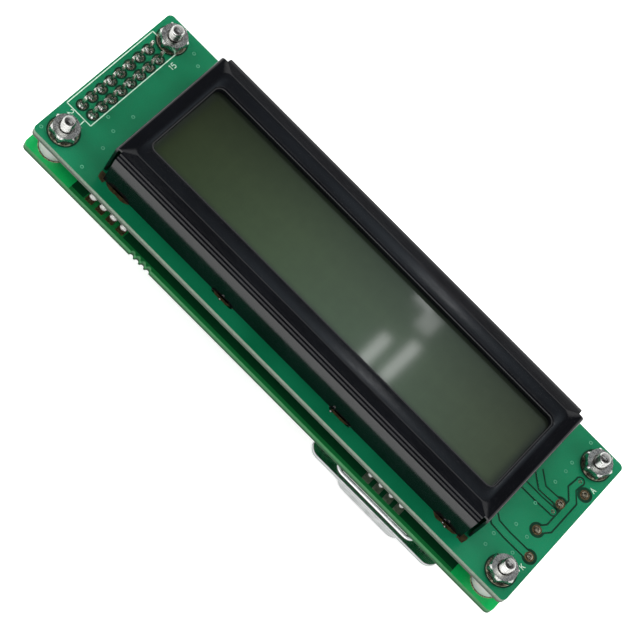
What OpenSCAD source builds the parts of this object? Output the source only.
// Character LCD module with a serial interface board carried behind the display board.
// Millimetres. +X runs along the module, +Y across it, +Z out of the display.
// The origin is the centre of the four fixing studs, on the plane of the nuts' front faces.

/* [Boards] */
// Length of the display board
board_l = 116; // [112:0.5:124]
// Width of both boards
board_w = 37; // [36:0.5:42]
// Thickness of the display board
board_t = 1.6; // [1.2:0.1:2]
// Corner radius of both boards
board_corner_r = 1; // [0.5:0.1:2]
// Length of the rear board
rear_l = 116.4; // [112:0.2:124]
// Thickness of the rear board
rear_t = 1.6; // [1.2:0.1:2]
// Distance of the fixing holes from the display board's edges
hole_inset = 4; // [3.8:0.1:4.2]
// Diameter of the fixing holes in both boards
hole_d = 2.9; // [2.7:0.1:3.2]
// Height of the gap between the two boards
board_gap = 4.5; // [4:0.1:7]

// Position of the breakaway perforations on the rear board's near edge
perf_x = -28.7; // [-40:0.1:5]
// Number of perforations left in that edge
perf_count = 4; // [2:1:6]

/* [Fixings] */
// Major diameter of the screw thread
thread_d = 2.5; // [2.5:0.1:2.6]
// Length of screw that stands free beyond the nut
stud_free = 2.3; // [1.5:0.1:4]
// Height of the nut
nut_h = 2; // [1.6:0.1:2.5]
// Width across the nut's flats
nut_af = 5; // [4.5:0.1:5.5]
// Outer diameter of the round spacers
spacer_d = 6; // [5:0.1:6.5]
// Diameter of the pan head
head_d = 5; // [4.5:0.1:5.5]
// Height of the pan head
head_h = 1.9; // [1.6:0.1:2.2]

/* [Bezel] */
// Outside length of the bezel
bezel_l = 90.6; // [89:0.2:92]
// Outside width of the bezel
bezel_w = 31.2; // [30.4:0.2:31.6]
// Height of the bezel above the display board
bezel_h = 9.2; // [9:0.1:10.5]
// Offset of the bezel's centre from the board's centre
bezel_x = 0.8; // [0:0.1:1.5]
// Thickness of the bezel's sheet
sheet_t = 0.5; // [0.4:0.05:0.6]
// Outer radius of the fold between top and wall
fold_r = 0.8; // [0.7:0.05:1.2]
// Distance from the long walls to the ridge round the flat top
ridge_side = 3.1; // [2.8:0.1:3.8]
// Distance from the end walls to that ridge
ridge_end = 2.4; // [2:0.1:2.6]
// Slope in degrees of the shelf between the ridge and the fold
shelf_angle = 8; // [4:1:12]
// Length of the window
window_l = 83; // [80:0.5:84]
// Width of the window
window_w = 18.6; // [16:0.2:19]
// Radius of the window's corners
window_corner_r = 1.2; // [0.8:0.1:2]
// Radius of the rolled edge of the window
window_edge_r = 0.5; // [0.3:0.05:0.55]
// Depth of the polarizer below the bezel's top
window_depth = 1.5; // [1.2:0.1:1.8]
// Length of the corner relief along the long walls
relief_x = 1.3; // [1:0.1:1.6]
// Length of the corner relief along the end walls
relief_y = 1.5; // [1:0.1:1.8]
// Distance from the bezel's centre to the inner fixing tabs
tab_inner_x = 14.5; // [12:0.5:18]
// Distance from the bezel's centre to the outer fixing tabs
tab_outer_x = 40.3; // [36:0.1:40.5]
// Width of a fixing tab
tab_w = 2.6; // [2:0.1:3]
// Length of a tab below the display board
tab_drop = 1.9; // [1.5:0.1:2.2]
// Angle that a tab is twisted through
tab_twist = 38; // [25:1:45]
// Length of a tab slot in the display board
slot_l = 5.3; // [4.8:0.1:5.6]
// Width of a tab slot in the display board
slot_w = 1.4; // [1.2:0.05:1.5]

/* [Display] */
// Thickness of each glass
glass_t = 1.1; // [0.9:0.05:1.15]
// Thickness of each polarizer
polarizer_t = 0.2; // [0.15:0.01:0.25]
// Gap between the front glass's ends and the bezel's walls
glass_end_gap = 1.05; // [0.5:0.05:1.5]
// Gap between the front glass's sides and the bezel's walls
glass_side_gap = 0.85; // [0.3:0.05:1]
// Width of the ledge of front glass over each contact strip
ledge_w = 3; // [2.6:0.1:3.4]
// Width of a rubber contact strip
strip_w = 2; // [1.6:0.1:2.2]
// Overlap of the polarizers beyond the window
polarizer_margin = 0.7; // [0.55:0.05:0.8]
// Thickness of the backlight's own board
lamp_board_t = 1.1; // [0.8:0.1:1.3]
// Number of lamps in each row of the backlight
lamps_per_row = 12; // [6:1:16]

/* [Interboard header] */
// Pitch of the pins
pitch = 2.54; // [2.5:0.01:2.54]
// Number of pins in each of the two rows
pins_per_row = 8; // [7:1:8]
// Distance of the header's centre from the display board's end
header_inset = 3.8; // [3.6:0.1:4.4]
// Offset of the header's centre across the board
header_y = 0.8; // [0:0.1:1.2]
// Width of the square pins
pin_w = 0.64; // [0.6:0.01:0.66]
// Height of the pins above the display board
pin_stand = 3.2; // [2:0.1:4]
// Diameter of the plated holes for pins
pin_hole_d = 1.02; // [1:0.01:1.1]

/* [Serial connector] */
// Position of the connector's centre along the boards
dsub_x = 30.6; // [28:0.1:31]
// Distance of the flange from the board's long edge
dsub_inset = 0.75; // [0:0.05:1.5]
// Length of the flange
flange_l = 30.8; // [30.4:0.1:31]
// Width of the flange
flange_w = 12.5; // [12.2:0.1:12.7]
// Thickness of each of the two stacked flanges
flange_t = 0.5; // [0.4:0.05:0.6]
// Height of the flange off the rear board
flange_stand = 4.5; // [4.2:0.1:6]
// Spacing of the two fixing posts
post_span = 24.99; // [24.9:0.01:25.1]
// Reach of the mating shell beyond the flange
shell_reach = 5.9; // [5:0.1:6.2]
// Width of the mating shell on its wide side
shell_l = 16.3; // [16.2:0.05:16.6]
// Height of the mating shell
shell_w = 7.9; // [7.8:0.05:8.1]

/* [Interface electronics] */
// Side of the microcontroller's package
mcu_side = 10; // [9:0.5:10]
// Leads on each side of the microcontroller
mcu_leads = 11; // [6:1:11]
// Length of the line driver's package
driver_l = 9.9; // [9.5:0.1:10.5]
// Diameter of the reservoir capacitors
can_d = 6.3; // [5:0.1:6.5]
// Height of the reservoir capacitors
can_h = 5.4; // [4.5:0.1:7]
// Height of the crystal's can
crystal_h = 3.5; // [2.5:0.1:4]

/* [Hidden] */
$fn = 48;

// Small amount by which a cutting tool passes the face that it cuts
cut = 0.5;
// Clearance between a piece and the bore or pocket that it is fitted in
fit = 0.03;
// Depth of a straight side below the tangent of the arcs that it joins
hair = 0.002;

// Levels of the boards' faces
front_z = -nut_h;
front_back_z = front_z - board_t;
rear_z = front_back_z - board_gap;
rear_back_z = rear_z - rear_t;

// Breakaway perforations
perf_pitch = 1.3;
perf_r = 0.45;

// Fixings: mating threads are drawn at the pitch diameter, the free end at the major diameter
hole_x = board_l / 2 - hole_inset;
hole_y = board_w / 2 - hole_inset;
thread_r = thread_d / 2;
shank_r = thread_r - 0.17;
tip_chamfer = 0.3;
recess_l = 2.7;
recess_w = 0.55;
recess_depth = 1.1;

// Bezel: levels are heights over the display board's front face
lip_clear = 0.1;
lip_l = window_l + 2 * sheet_t;
lip_w = window_w + 2 * sheet_t;
tab_clear = 0.1;
tab_y = bezel_w / 2 - sheet_t / 2;

// Display stack, built down from the window's lip
polarizer_top = bezel_h - window_depth;
front_glass_top = polarizer_top - polarizer_t;
cell_split = front_glass_top - glass_t;
rear_glass_bottom = cell_split - glass_t;
diffuser_top = rear_glass_bottom - polarizer_t;
front_glass_l = bezel_l - 2 * (sheet_t + glass_end_gap);
front_glass_w = bezel_w - 2 * (sheet_t + glass_side_gap);
rear_glass_w = front_glass_w - 2 * ledge_w;
polarizer_l = lip_l + polarizer_margin;
polarizer_w = lip_w + polarizer_margin;
strip_y = rear_glass_w / 2 + ledge_w / 2;
strip_end_gap = 2;
strip_l = front_glass_l - 2 * strip_end_gap;
lamp_size = [1.2, 0.9, 0.45];
lamp_row_y = 4.5;
diffuser_wall = 1;
diffuser_roof = 1.5;
glob_d = 11;
glob_h = 1.3;
glob_x = [-30, -4, 22];

// Interboard header
header_x = -(board_l / 2 - header_inset);
header_h = 2.54;
pin_tail = 3;
pin_point = 0.35;
solder_h = 0.75;
solder_d = 1.85;

// Lamp wiring holes at the end of the display board opposite to the header
lamp_pad_inset = 1.95;
lamp_pad_y = 8.5;
link_hole_inset = 4.1;
link_hole_y = 3.55;
wiring_hole_d = 0.9;

// Serial connector
dsub_y = -board_w / 2 + dsub_inset + flange_w / 2;
flange_corner_r = 2.3;
flange_z = rear_back_z - flange_stand;
side_angle = 10;
shell_t = 0.45;
shell_corner_r = 2.6;
rear_shell_l = 19.3;
rear_shell_w = 10.7;
rear_shell_corner_r = 1.9;
rear_shell_h = flange_stand - 0.5;
contact_pitch = 2.77;
contact_row_y = 1.42;
contact_r = 0.75;
contact_bore_r = 0.52;
contact_depth = 5;
tail_r = 0.35;
tail_stand = 1;
entry_r = 0.6;
entry_t = 0.5;
insulator_recess = 0.3;
post_af = 4.75;
post_h = 5;
post_bore_r = 1.42;
post_bore_depth = 4.2;
post_stud_r = 1.22;
post_stud_l = 3;
standoff_af = 5;
board_pin_r = 1.5;
board_pin_l = 1.3;
flange_hole_r = 1.6;

// Power header, with its pins turned along the board
power_ways = 4;
power_x = -42.7;
power_y = -board_w / 2 + 2.5;
power_body = 2.54;
power_gap = 1.1;
power_pin_l = 6;
power_tail_stand = 1.2;

// Electronics on the back of the rear board, as positions on its face
mcu_pos = [-12, 2];
mcu_h = 1.4;
mcu_pitch = 0.8;
mcu_lead = [1, 0.35, 0.15];
driver_pos = [22, 5];
driver_w = 3.9;
driver_h = 1.5;
driver_leads = 8;
driver_pitch = 1.27;
driver_lead = [1.05, 0.42, 0.2];
package_stand = 0.1;
package_band = 0.3;
package_draft = 8;
package_bevel = 0.6;
dimple_r = 0.5;
dimple_depth = 0.1;
dimple_inset = 1.3;
crystal_pos = [-29, 3];
crystal_size = [10.2, 3.8];
crystal_rim = 0.45;
crystal_rim_h = 0.7;
can_pos = [[46, 5], [4, -12]];
can_base = 6.6;
can_base_h = 1.1;
can_groove_r = 0.35;
chip_size = [2, 1.25];
resistor_h = 0.5;
ceramic_h = 0.9;
chip_step = 4;
resistor_x = -24;
resistor_inset = 5;
ceramic_x = 14;
ceramic_inset = 7;
resistor_pos = [for (i = [0:5]) [resistor_x + chip_step * i, board_w / 2 - resistor_inset]];
ceramic_pos = [for (i = [0:3]) [ceramic_x + chip_step * i, board_w / 2 - ceramic_inset]];

// ---- Shared outlines ----

// Rectangle with rounded corners, centred
module round_rect(l, w, r) {
    square([l - 2 * r, w], center = true);
    square([l, w - 2 * r], center = true);
    for (sx = [-1, 1], sy = [-1, 1])
        translate([sx * (l / 2 - r), sy * (w / 2 - r)]) circle(r);
}

// Slot with round ends, centred, along X
module slot_outline(l, w) {
    square([l - w, w], center = true);
    for (s = [-1, 1])
        translate([s * (l - w) / 2, 0]) circle(w / 2);
}

// Outward direction of the edge from a to b of an outline that runs counter-clockwise
function outward(a, b) = let (d = b - a) [d[1], -d[0]] / norm(d);

// Outline rounded outwards by r from the corners' centres, which run counter-clockwise.
// The straight sides lie a hair inside the arcs' tangents, so that each arc crosses its sides.
module round_outline(centres, r) {
    n = len(centres);
    reach = r - hair;
    polygon([for (i = [0:n - 1]) each [
        centres[i] + reach * outward(centres[(i + n - 1) % n], centres[i]),
        centres[i] + reach * outward(centres[i], centres[(i + 1) % n])]]);
    for (c = centres)
        translate(c) circle(r);
}

// D outline of a serial connector, l wide on its lower side and w high
module d_outline(l, w, r) {
    wide = l / 2 - r;
    rise = w - 2 * r;
    narrow = wide - rise * tan(side_angle);
    round_outline([[-wide, -rise / 2], [wide, -rise / 2], [narrow, rise / 2], [-narrow, rise / 2]], r);
}

// Hexagon by its width across flats
module hexagon(af) {
    circle(d = af / cos(30), $fn = 6);
}

// Square pin of length l with a pointed upper end, standing on z = 0
module square_pin(l) {
    side = [[-pin_w / 2, 0], [pin_w / 2, 0], [pin_w / 2, l - pin_point],
        [pin_w / 4, l], [-pin_w / 4, l], [-pin_w / 2, l - pin_point]];
    intersection() {
        rotate([90, 0, 0])
            linear_extrude(pin_w, center = true) polygon(side);
        rotate([90, 0, 90])
            linear_extrude(pin_w, center = true) polygon(side);
    }
}

module at_fixings() {
    for (sx = [-1, 1], sy = [-1, 1])
        translate([sx * hole_x, sy * hole_y, 0]) children();
}

module at_header_pins() {
    for (i = [0:pins_per_row - 1], s = [-1, 1])
        translate([header_x + s * pitch / 2, header_y + (i - (pins_per_row - 1) / 2) * pitch, 0])
            children();
}

module at_tabs() {
    for (sx = [-1, 1], sy = [-1, 1], x = [tab_inner_x, tab_outer_x])
        translate([bezel_x + sx * x, sy * tab_y, 0]) children();
}

module at_contacts() {
    for (i = [0:4])
        translate([dsub_x + (i - 2) * contact_pitch, dsub_y - contact_row_y, 0]) children();
    for (i = [0:3])
        translate([dsub_x + (i - 1.5) * contact_pitch, dsub_y + contact_row_y, 0]) children();
}

module at_posts() {
    for (s = [-1, 1])
        translate([dsub_x + s * post_span / 2, dsub_y, 0]) children();
}

module at_power_pins() {
    for (i = [0:power_ways - 1])
        translate([power_x + i * pitch, power_y, 0]) children();
}

// Stands its children on the back of the rear board, heights running away from it
module on_back(pos = [0, 0]) {
    translate([pos[0], pos[1], rear_back_z]) mirror([0, 0, 1]) children();
}

// ---- Display board and what it carries ----

module front_board() {
    color("seagreen")
    translate([0, 0, front_back_z])
    linear_extrude(board_t)
    difference() {
        round_rect(board_l, board_w, board_corner_r);
        at_fixings() circle(d = hole_d);
        at_header_pins() circle(d = pin_hole_d);
        at_tabs() slot_outline(slot_l, slot_w);
        for (s = [-1, 1]) {
            translate([board_l / 2 - lamp_pad_inset, s * lamp_pad_y]) circle(d = wiring_hole_d);
            translate([board_l / 2 - link_hole_inset, s * link_hole_y]) circle(d = wiring_hole_d);
        }
    }
}

// Cross-section of the crowned form, w wide: upright walls, fold, shelf that slopes up to the ridge,
// and flat top. Every outer face lies further in by inset.
module crown_section(w, ridge, inset) {
    far = w / 2 - fold_r;
    start = w / 2 - ridge;
    fold_z = bezel_h - (far - start) * tan(shelf_angle) - fold_r / cos(shelf_angle);
    turn = fold_r - inset;
    side_of_ridge = [start - inset * tan(shelf_angle / 2), bezel_h - inset];
    side_of_fold = [far, fold_z] + (turn - hair) * [sin(shelf_angle), cos(shelf_angle)];
    base = -cut * (inset > 0 ? 1 : 0);
    translate([-(w / 2 - inset), base]) square([w - 2 * inset, fold_z - base]);
    for (s = [0, 1])
        mirror([s, 0]) {
            translate([far, fold_z]) circle(turn);
            polygon([[-cut, fold_z - cut], [far, fold_z - cut], side_of_fold, side_of_ridge,
                [-cut, bezel_h - inset]]);
        }
}

// Crowned box form of the bezel, shrunk by inset on every outer face
module crown_form(inset) {
    intersection() {
        rotate([90, 0, 90])
            linear_extrude(bezel_l + 2 * cut, center = true) crown_section(bezel_w, ridge_side, inset);
        rotate([90, 0, 0])
            linear_extrude(bezel_w + 2 * cut, center = true) crown_section(bezel_l, ridge_end, inset);
    }
}

// Metal taken away along the window's rolled edge, across from the window's wall and up
module roll_profile() {
    difference() {
        translate([-cut, bezel_h - window_edge_r]) square([window_edge_r + cut, window_edge_r + cut]);
        translate([window_edge_r, bezel_h - window_edge_r]) circle(window_edge_r);
    }
}

// Window cut down to the polarizer, with its edge rolled over along the sides and round the corners
module window_opening() {
    side_x = window_l / 2 - window_corner_r;
    side_y = window_w / 2 - window_corner_r;
    translate([0, 0, polarizer_top - cut])
        linear_extrude(bezel_h - polarizer_top + 2 * cut) round_rect(window_l, window_w, window_corner_r);
    for (turn = [0, 180])
        rotate(turn) {
            translate([0, window_w / 2, 0])
                rotate([90, 0, 90]) linear_extrude(2 * side_x, center = true) roll_profile();
            translate([window_l / 2, 0, 0])
                rotate([90, 0, 0]) linear_extrude(2 * side_y, center = true) roll_profile();
            translate([side_x, side_y, 0])
                rotate_extrude(angle = 90) translate([window_corner_r, 0]) roll_profile();
            translate([-side_x, side_y, 0])
                rotate(90) rotate_extrude(angle = 90) translate([window_corner_r, 0]) roll_profile();
        }
}

// Tab standing down through its slot, with its lower part twisted under the board
module tab() {
    translate([-tab_w / 2, -sheet_t / 2, -board_t - tab_clear])
        cube([tab_w, sheet_t, board_t + tab_clear + cut]);
    rotate(tab_twist)
        translate([-tab_w / 2, -sheet_t / 2, -board_t - tab_drop])
        cube([tab_w, sheet_t, tab_drop - tab_clear]);
}

module bezel() {
    color("#1c1f22")
    translate([0, 0, front_z]) {
        translate([bezel_x, 0, 0])
        difference() {
            union() {
                difference() {
                    crown_form(0);
                    crown_form(sheet_t);
                }
                translate([0, 0, polarizer_top + lip_clear])
                    linear_extrude(bezel_h - sheet_t / 2 - polarizer_top - lip_clear)
                    round_rect(lip_l, lip_w, window_corner_r + sheet_t);
            }
            window_opening();
            for (sx = [-1, 1], sy = [-1, 1])
                translate([sx * bezel_l / 2, sy * bezel_w / 2, bezel_h / 2])
                    cube([2 * relief_x, 2 * relief_y, bezel_h + 2 * cut], center = true);
        }
        at_tabs() tab();
    }
}

module plate(l, w, z, t) {
    translate([bezel_x - l / 2, -w / 2, front_z + z]) cube([l, w, t]);
}

module front_polarizer() {
    color("#6c7a5c") plate(polarizer_l, polarizer_w, front_glass_top, polarizer_t);
}

module front_glass() {
    color("#b9c9c0") plate(front_glass_l, front_glass_w, cell_split, glass_t);
}

module rear_glass() {
    color("#a9bdb2") plate(front_glass_l, rear_glass_w, rear_glass_bottom, glass_t);
}

module rear_polarizer() {
    color("#7d8a66") plate(polarizer_l, polarizer_w, diffuser_top, polarizer_t);
}

module contact_strip(side) {
    translate([bezel_x - strip_l / 2, side * strip_y - strip_w / 2, front_z])
        cube([strip_l, strip_w, cell_split]);
}

module contact_strip_near() {
    color("#8d8b84") contact_strip(-1);
}

module contact_strip_far() {
    color("#8d8b84") contact_strip(1);
}

module backlight_board() {
    color("#e8e6da") plate(strip_l, polarizer_w, 0, lamp_board_t);
}

// Moulded light box: open below over the lamps, with a clouded roof under the cell
module backlight_diffuser() {
    color("#dfe6c8")
    difference() {
        plate(strip_l, polarizer_w, lamp_board_t, diffuser_top - lamp_board_t);
        plate(strip_l - 2 * diffuser_wall, polarizer_w - 2 * diffuser_wall,
            lamp_board_t - cut, diffuser_top - lamp_board_t - diffuser_roof + cut);
    }
}

module backlight_lamps() {
    lamp_pitch = (strip_l - 4 * diffuser_wall) / lamps_per_row;
    color("#e4d36a")
    for (i = [0:lamps_per_row - 1], s = [-1, 1])
        translate([bezel_x + (i - (lamps_per_row - 1) / 2) * lamp_pitch, s * lamp_row_y,
            front_z + lamp_board_t + lamp_size[2] / 2])
            cube(lamp_size, center = true);
}

// Epoxy domes over the display driver chips on the back of the display board
module display_drivers() {
    dome_r = (glob_d * glob_d / 4 + glob_h * glob_h) / (2 * glob_h);
    color("#141414")
    for (x = glob_x)
        translate([x, 0, front_back_z])
        intersection() {
            translate([0, 0, dome_r - glob_h]) sphere(dome_r, $fn = 192);
            translate([0, 0, -glob_h - cut]) cylinder(h = glob_h + cut, d = glob_d + 2);
        }
}

// ---- Interboard header ----

module header_body() {
    length = pins_per_row * pitch;
    notch = 0.7;
    color("#161616")
    translate([header_x, header_y, rear_z])
    difference() {
        translate([-pitch, -length / 2, 0]) cube([2 * pitch, length, header_h]);
        for (i = [1:pins_per_row - 1], s = [-1, 1])
            translate([s * pitch, i * pitch - length / 2, header_h / 2])
                rotate(45) cube([notch, notch, header_h + 2 * cut], center = true);
        translate([-header_x, -header_y, 0])
            at_header_pins()
                translate([0, 0, header_h / 2])
                cube([pin_w + 2 * fit, pin_w + 2 * fit, header_h + 2 * cut], center = true);
    }
}

module header_pins() {
    bottom = rear_z - pin_tail;
    color("#d8d4c4")
    at_header_pins()
        translate([0, 0, bottom]) square_pin(front_z + pin_stand - bottom);
}

// Solder cone round a pin, standing on z = 0
module solder_cone(hole_w) {
    difference() {
        cylinder(h = solder_h, d1 = solder_d, d2 = hole_w * 1.5);
        translate([0, 0, solder_h / 2])
            cube([hole_w, hole_w, solder_h + 2 * cut], center = true);
    }
}

module solder_joints() {
    color("#cfd2d2") {
        at_header_pins() {
            translate([0, 0, front_z]) solder_cone(pin_w + 2 * fit);
            translate([0, 0, rear_back_z]) mirror([0, 0, 1]) solder_cone(pin_w + 2 * fit);
        }
        at_power_pins() translate([0, 0, rear_z]) solder_cone(pin_w + 2 * fit);
        at_contacts() translate([0, 0, rear_z]) solder_cone(2 * (tail_r + fit));
    }
}

// ---- Fixings ----

module screws() {
    shank_l = -rear_back_z;
    dome_r = (head_d * head_d / 4 + head_h * head_h) / (2 * head_h) + 0.6;
    color("#c9ccce")
    at_fixings() {
        translate([0, 0, -shank_l]) cylinder(h = shank_l, r = shank_r);
        cylinder(h = stud_free - tip_chamfer, r = thread_r);
        translate([0, 0, stud_free - tip_chamfer])
            cylinder(h = tip_chamfer, r1 = thread_r, r2 = thread_r - tip_chamfer);
        difference() {
            intersection() {
                translate([0, 0, rear_back_z - head_h]) cylinder(h = head_h, d = head_d);
                translate([0, 0, rear_back_z - head_h + dome_r]) sphere(dome_r);
            }
            for (a = [0, 90])
                rotate(a)
                translate([0, 0, rear_back_z - head_h])
                cube([recess_l, recess_w, 2 * recess_depth], center = true);
        }
    }
}

module nuts() {
    corner_d = nut_af / cos(30);
    bevel = (corner_d - nut_af) / 2;
    color("#d3d6d8")
    at_fixings()
        translate([0, 0, front_z])
        difference() {
            intersection() {
                linear_extrude(nut_h) hexagon(nut_af);
                cylinder(h = nut_h, d1 = nut_af + 2 * nut_h, d2 = nut_af);
                translate([0, 0, -bevel])
                    cylinder(h = nut_h + bevel, d1 = nut_af, d2 = nut_af + 2 * (nut_h + bevel));
            }
            translate([0, 0, -cut]) cylinder(h = nut_h + 2 * cut, r = shank_r + fit);
        }
}

module spacers() {
    color("#c8cac4")
    at_fixings()
        translate([0, 0, rear_z])
        difference() {
            cylinder(h = board_gap, d = spacer_d);
            translate([0, 0, -cut]) cylinder(h = board_gap + 2 * cut, d = hole_d - 0.2);
        }
}

// ---- Rear board ----

module rear_board() {
    color("#1f8a55")
    translate([0, 0, rear_back_z])
    linear_extrude(rear_t)
    difference() {
        round_rect(rear_l, board_w, board_corner_r);
        at_fixings() circle(d = hole_d);
        at_header_pins() circle(d = pin_hole_d);
        at_power_pins() circle(d = pin_hole_d);
        at_contacts() circle(d = pin_hole_d);
        at_posts() circle(r = board_pin_r + fit);
        for (i = [0:perf_count - 1])
            translate([perf_x + (i - (perf_count - 1) / 2) * perf_pitch, -board_w / 2]) circle(perf_r);
    }
}

// ---- Serial connector ----

// Drawn D shell on z = 0: flange at the bottom, walls rising from it to height h
module shell(l, w, r, h) {
    difference() {
        union() {
            linear_extrude(flange_t) round_rect(flange_l, flange_w, flange_corner_r);
            linear_extrude(flange_t + h) d_outline(l, w, r);
        }
        translate([0, 0, -cut])
            linear_extrude(flange_t + h + 2 * cut)
            d_outline(l - 2 * shell_t, w - 2 * shell_t, r - shell_t);
        for (s = [-1, 1])
            translate([s * post_span / 2, 0, -cut])
                cylinder(h = flange_t + 2 * cut, r = flange_hole_r);
    }
}

module dsub_rear_shell() {
    color("#b9bdc0")
    translate([dsub_x, dsub_y, flange_z - flange_t])
        shell(rear_shell_l, rear_shell_w, rear_shell_corner_r, rear_shell_h);
}

module dsub_front_shell() {
    color("#c4c8ca")
    translate([dsub_x, dsub_y, flange_z - flange_t])
    mirror([0, 0, 1])
        shell(shell_l, shell_w, shell_corner_r, shell_reach);
}

module dsub_insulator() {
    mating_z = flange_z - 2 * flange_t - shell_reach + insulator_recess;
    inset = 2 * (shell_t + fit);
    seat_z = flange_z - flange_t;
    color("#1a1b1d")
    difference() {
        union() {
            translate([dsub_x, dsub_y, mating_z])
            linear_extrude(seat_z - mating_z)
                d_outline(shell_l - inset, shell_w - inset, shell_corner_r - inset / 2);
            translate([dsub_x, dsub_y, seat_z])
            linear_extrude(rear_back_z - seat_z)
                d_outline(rear_shell_l - inset, rear_shell_w - inset, rear_shell_corner_r - inset / 2);
        }
        at_contacts() {
            translate([0, 0, mating_z - cut]) cylinder(h = rear_back_z - mating_z + 2 * cut, r = entry_r);
            translate([0, 0, mating_z + entry_t])
                cylinder(h = rear_back_z - mating_z - entry_t + cut, r = contact_r + fit);
        }
    }
}

// Turned socket contacts, each with a bore for its mating pin and a tail through the board
module dsub_contacts() {
    mouth_z = flange_z - 2 * flange_t - shell_reach + insulator_recess + entry_t + fit;
    shoulder_z = rear_back_z - 2;
    color("#d8b866")
    at_contacts()
    difference() {
        union() {
            translate([0, 0, mouth_z]) cylinder(h = shoulder_z - mouth_z, r = contact_r);
            translate([0, 0, shoulder_z]) cylinder(h = rear_z + tail_stand - shoulder_z, r = tail_r);
        }
        translate([0, 0, mouth_z - cut]) cylinder(h = contact_depth + cut, r = contact_bore_r);
    }
}

// Hexagonal standoffs between flange and board, each with a plain pin in the board
module dsub_standoffs() {
    color("#c7c9ca")
    at_posts()
    difference() {
        union() {
            translate([0, 0, flange_z]) linear_extrude(flange_stand) rotate(30) hexagon(standoff_af);
            translate([0, 0, rear_back_z]) cylinder(h = board_pin_l, r = board_pin_r);
        }
        translate([0, 0, flange_z - cut]) cylinder(h = post_stud_l + 2 * cut, r = post_stud_r + fit);
    }
}

// Jack posts: a stud through the flanges, and a hexagon tapped for the cable's screw
module dsub_jackposts() {
    seat_z = flange_z - 2 * flange_t;
    color("#d0d2d3")
    at_posts()
    difference() {
        union() {
            translate([0, 0, seat_z - post_h]) linear_extrude(post_h) rotate(30) hexagon(post_af);
            translate([0, 0, seat_z]) cylinder(h = 2 * flange_t + post_stud_l, r = post_stud_r);
        }
        translate([0, 0, seat_z - post_h - cut]) cylinder(h = post_bore_depth + cut, r = post_bore_r);
    }
}

// ---- Power header ----

module power_header_body() {
    length = power_ways * pitch;
    color("#161616")
    difference() {
        on_back([power_x - pitch / 2, power_y + power_gap]) cube([length, power_body, power_body]);
        at_power_pins()
            translate([0, 0, rear_back_z - power_body / 2])
            rotate([-90, 0, 0])
            linear_extrude(power_gap + power_body + cut) square(pin_w + 2 * fit, center = true);
    }
}

// Square pins that rise from the board's back, turn and run inwards along it
module power_header_pins() {
    top = rear_z + power_tail_stand;
    bend_z = rear_back_z - power_body / 2;
    reach = power_gap + power_body + power_pin_l;
    color("#d8b866")
    at_power_pins() {
        translate([0, 0, bend_z - pin_w / 2]) square_pin(top - bend_z + pin_w / 2);
        translate([-pin_w / 2, 0, bend_z - pin_w / 2]) cube([pin_w, reach, pin_w]);
    }
}

// ---- Interface electronics ----

// Side view of a moulded package, l long: sides draw in to both faces from an upright band
module package_side(l, h) {
    band = package_band / 2;
    draw = (h / 2 - band) * tan(package_draft);
    polygon([[-l / 2 + draw, 0], [l / 2 - draw, 0], [l / 2, h / 2 - band], [l / 2, h / 2 + band],
        [l / 2 - draw, h], [-l / 2 + draw, h], [-l / 2, h / 2 + band], [-l / 2, h / 2 - band]]);
}

// Package with a bevelled first corner and a dimple beside it, standing just off the board
module package(l, w, h) {
    translate([0, 0, package_stand])
    difference() {
        intersection() {
            rotate([90, 0, 0]) linear_extrude(w + 2 * cut, center = true) package_side(l, h);
            rotate([90, 0, 90]) linear_extrude(l + 2 * cut, center = true) package_side(w, h);
            linear_extrude(h)
                polygon([[-l / 2 + package_bevel, -w / 2], [l / 2, -w / 2], [l / 2, w / 2], [-l / 2, w / 2],
                    [-l / 2, -w / 2 + package_bevel]]);
        }
        translate([-l / 2 + dimple_inset, -w / 2 + dimple_inset, h - dimple_depth])
            cylinder(h = dimple_depth + cut, r = dimple_r);
    }
}

// Gull-wing lead that leaves a package's side at x = 0, centred on the height of its shoulder;
// size is reach, width and thickness
module lead(size, shoulder) {
    knee = size[0] * 0.4;
    t = size[2];
    rotate([90, 0, 0])
    linear_extrude(size[1], center = true)
        polygon([[0, shoulder + t / 2], [knee, shoulder + t / 2], [knee, t], [size[0], t], [size[0], 0],
            [knee - t, 0], [knee - t, shoulder - t / 2], [0, shoulder - t / 2]]);
}

// Row of leads along Y on the package's side at x = side
module lead_row(count, step, side, size, shoulder) {
    for (i = [0:count - 1])
        translate([side, (i - (count - 1) / 2) * step, 0]) lead(size, shoulder);
}

module mcu_body() {
    color("#1b1c1e") on_back(mcu_pos) package(mcu_side, mcu_side, mcu_h);
}

module mcu_pins() {
    color("#c9cccd")
    on_back(mcu_pos)
    for (a = [0, 90, 180, 270])
        rotate(a) lead_row(mcu_leads, mcu_pitch, mcu_side / 2, mcu_lead, package_stand + mcu_h / 2);
}

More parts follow.
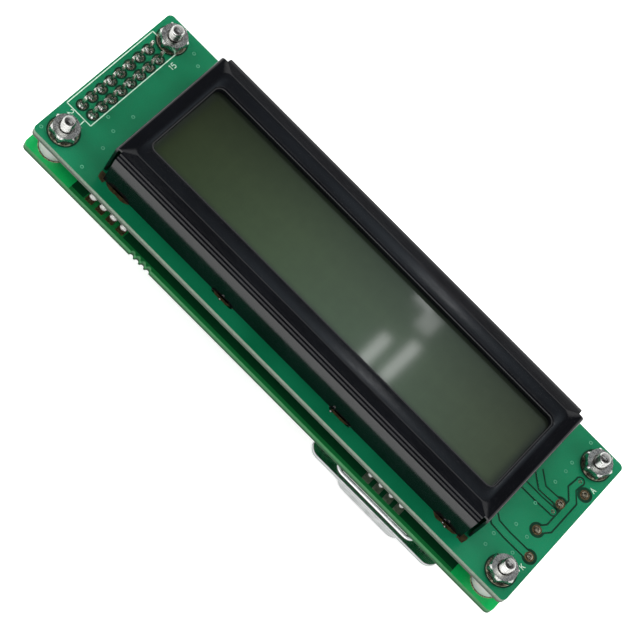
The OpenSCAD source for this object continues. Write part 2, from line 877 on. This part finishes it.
module line_driver_body() {
    color("#1b1c1e") on_back(driver_pos) package(driver_l, driver_w, driver_h);
}

module line_driver_pins() {
    color("#c9cccd")
    on_back(driver_pos)
    for (a = [90, 270])
        rotate(a)
            lead_row(driver_leads, driver_pitch, driver_w / 2, driver_lead, package_stand + driver_h / 2);
}

module crystal() {
    color("#c2c5c7")
    on_back(crystal_pos) {
        linear_extrude(crystal_rim_h)
            slot_outline(crystal_size[0] + 2 * crystal_rim, crystal_size[1] + 2 * crystal_rim);
        linear_extrude(crystal_h) slot_outline(crystal_size[0], crystal_size[1]);
    }
}

// Aluminium cans, rolled in by a groove above the base
module capacitor_cans() {
    groove_z = can_base_h + 0.9;
    color("#c5c9cb")
    for (p = can_pos)
        on_back(p)
        difference() {
            translate([0, 0, can_base_h]) cylinder(h = can_h - can_base_h, d = can_d);
            translate([0, 0, groove_z])
            rotate_extrude()
                translate([can_d / 2, 0]) circle(can_groove_r);
        }
}

module capacitor_bases() {
    half = can_base / 2;
    bevel = 1.2;
    color("#17181a")
    for (p = can_pos)
        on_back(p)
        linear_extrude(can_base_h)
            polygon([[-half, -half], [half - bevel, -half], [half, -half + bevel], [half, half - bevel],
                [half - bevel, half], [-half, half]]);
}

module chips(places, h) {
    for (p = places)
        on_back(p)
        translate([0, 0, h / 2]) cube([chip_size[1], chip_size[0], h], center = true);
}

module chip_resistors() {
    color("#202224") chips(resistor_pos, resistor_h);
}

module chip_capacitors() {
    color("#b79a72") chips(ceramic_pos, ceramic_h);
}

front_board();
bezel();
front_polarizer();
front_glass();
rear_glass();
rear_polarizer();
contact_strip_near();
contact_strip_far();
backlight_diffuser();
backlight_board();
backlight_lamps();
display_drivers();
header_body();
header_pins();
solder_joints();
screws();
nuts();
spacers();
rear_board();
dsub_rear_shell();
dsub_front_shell();
dsub_insulator();
dsub_contacts();
dsub_standoffs();
dsub_jackposts();
power_header_body();
power_header_pins();
mcu_body();
mcu_pins();
line_driver_body();
line_driver_pins();
crystal();
capacitor_cans();
capacitor_bases();
chip_resistors();
chip_capacitors();
